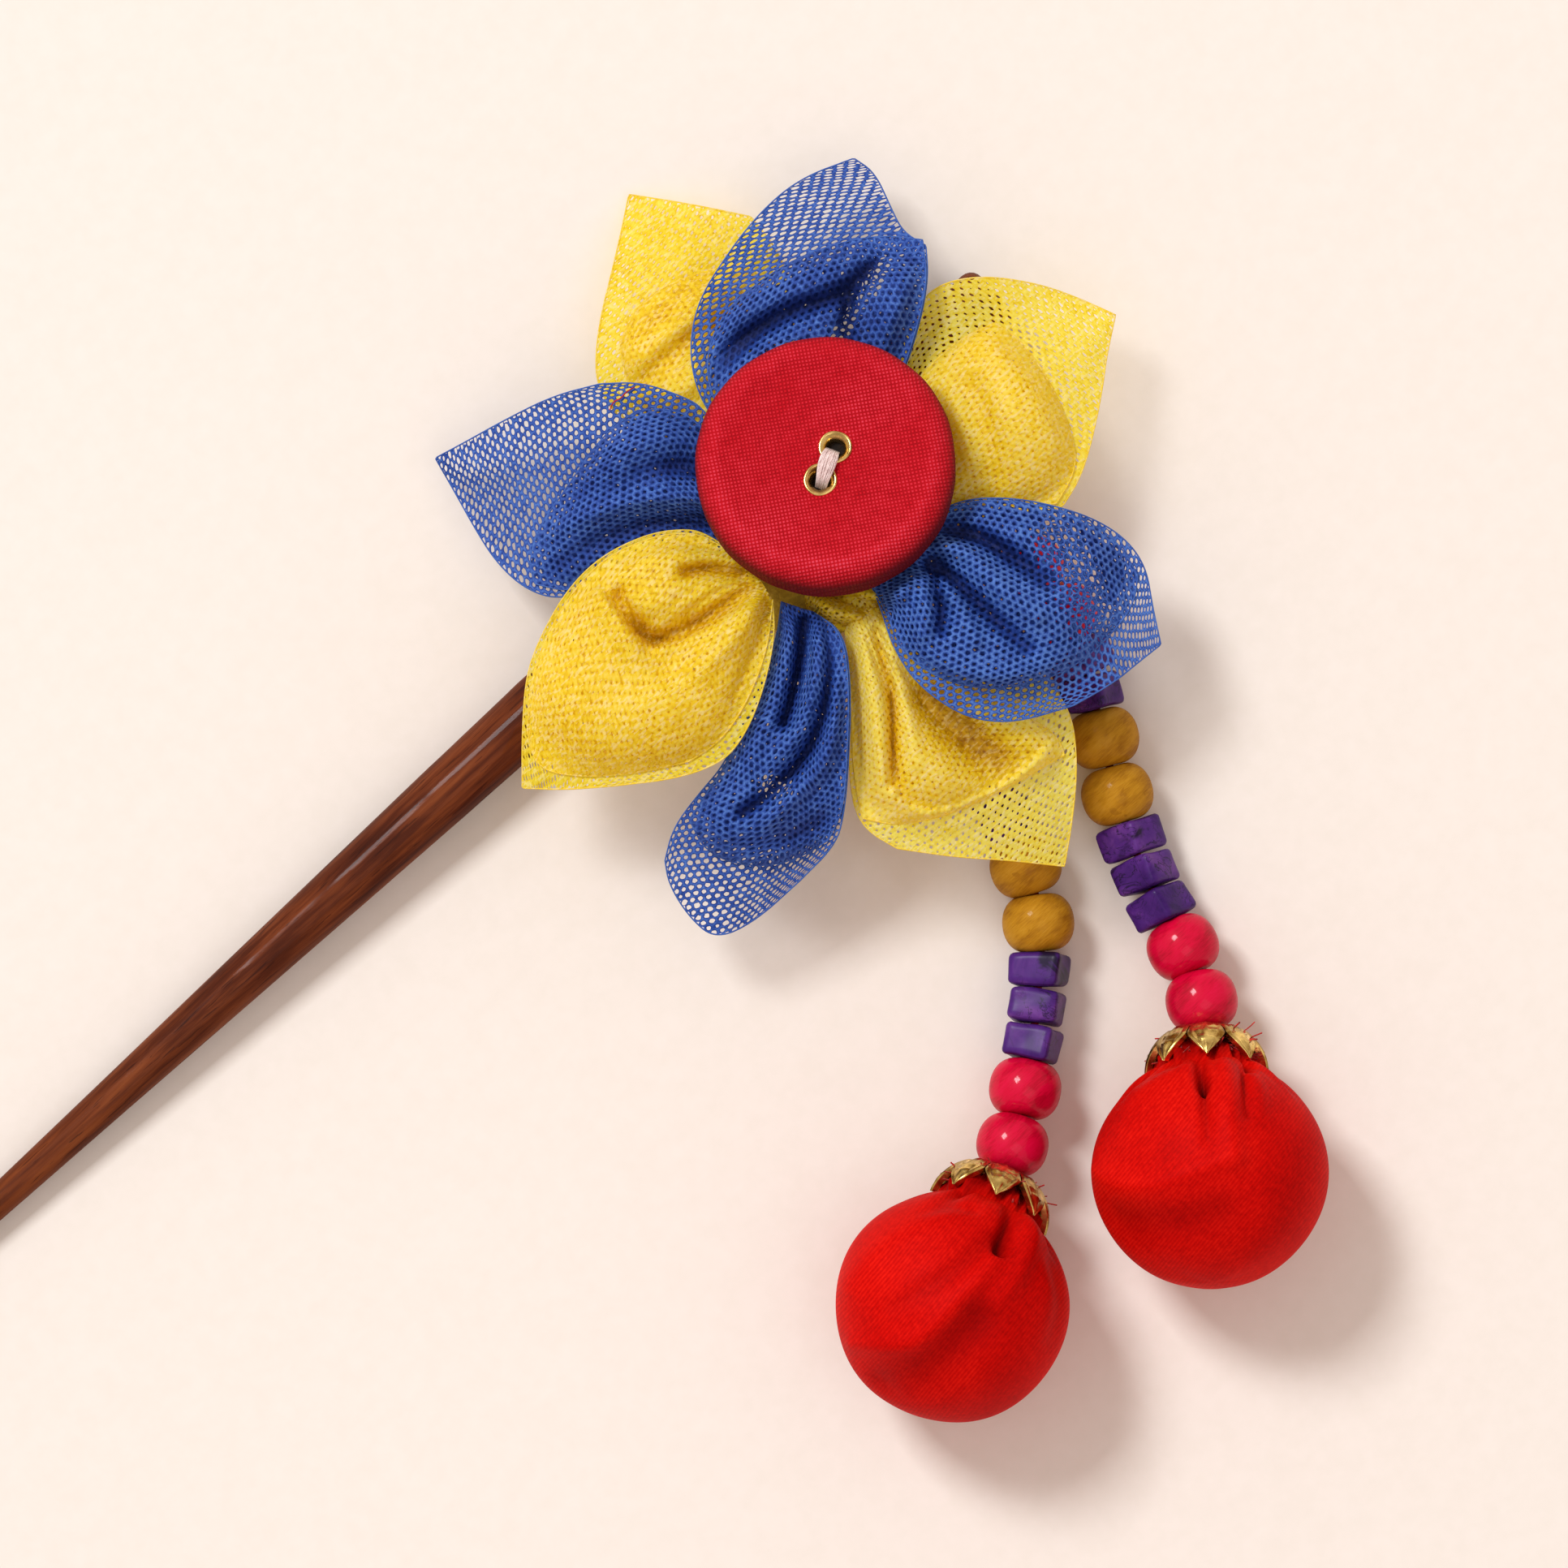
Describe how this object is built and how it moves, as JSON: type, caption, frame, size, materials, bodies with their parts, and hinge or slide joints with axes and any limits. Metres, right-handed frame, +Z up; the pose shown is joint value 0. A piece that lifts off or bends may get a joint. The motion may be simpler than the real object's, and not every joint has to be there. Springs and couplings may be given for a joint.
{
  "type": "hair stick",
  "caption": "Lacquered wooden hair stick with a flower of folded net petals, a cloth-covered button and two bead strands that end in gathered cloth balls",
  "frame": {"origin": "on the axis of the stick, below the middle of the button", "axes": "+X along the stick to its head, +Y across it to the side without the strands, +Z up from the surface that the hair stick lies on"},
  "size_m": [0.1851, 0.1233, 0.025],
  "materials": {
    "lacquered_wood": "glossy lacquer",
    "base_felt": "matte felt over a wooden post",
    "red_cotton": "matte plain weave",
    "eyelet_brass": "satin",
    "pale_thread": "soft cotton",
    "net_yellow": "fine hexagonal net, shiny fibres",
    "net_blue": "fine hexagonal net",
    "strand_thread": "waxed thread",
    "antique_brass": "antique, embossed",
    "red_satin": "satin twill",
    "bead_pink": "glossy paint",
    "bead_mustard": "matte stain",
    "chip_purple": "semi-gloss, dark veins"
  },
  "bodies": {
    "root": {"stick": "lacquered_wood", "flower_base": "base_felt", "button": "red_cotton", "eyelet_1": "eyelet_brass", "eyelet_2": "eyelet_brass", "button_thread": "pale_thread", "petal_1_yellow": "net_yellow", "petal_2_blue": "net_blue", "petal_3_yellow": "net_yellow", "petal_4_blue": "net_blue", "petal_5_yellow": "net_yellow", "petal_6_blue": "net_blue", "petal_7_yellow": "net_yellow", "petal_8_blue": "net_blue", "thread_a": "strand_thread", "cap_a": "antique_brass", "ball_a": "red_satin", "bead_a1": "bead_pink", "bead_a2": "bead_pink", "bead_a3": "chip_purple", "bead_a4": "chip_purple", "bead_a5": "bead_mustard", "bead_a6": "bead_mustard", "bead_a7": "chip_purple", "bead_a8": "chip_purple", "bead_a9": "chip_purple", "bead_a10": "bead_pink", "bead_a11": "bead_pink", "thread_b": "strand_thread", "cap_b": "antique_brass", "ball_b": "red_satin", "bead_b1": "bead_pink", "bead_b2": "bead_pink", "bead_b3": "chip_purple", "bead_b4": "chip_purple", "bead_b5": "bead_mustard", "bead_b6": "bead_mustard", "bead_b7": "chip_purple", "bead_b8": "chip_purple", "bead_b9": "chip_purple", "bead_b10": "bead_pink", "bead_b11": "bead_pink"}
  },
  "joints": []
}
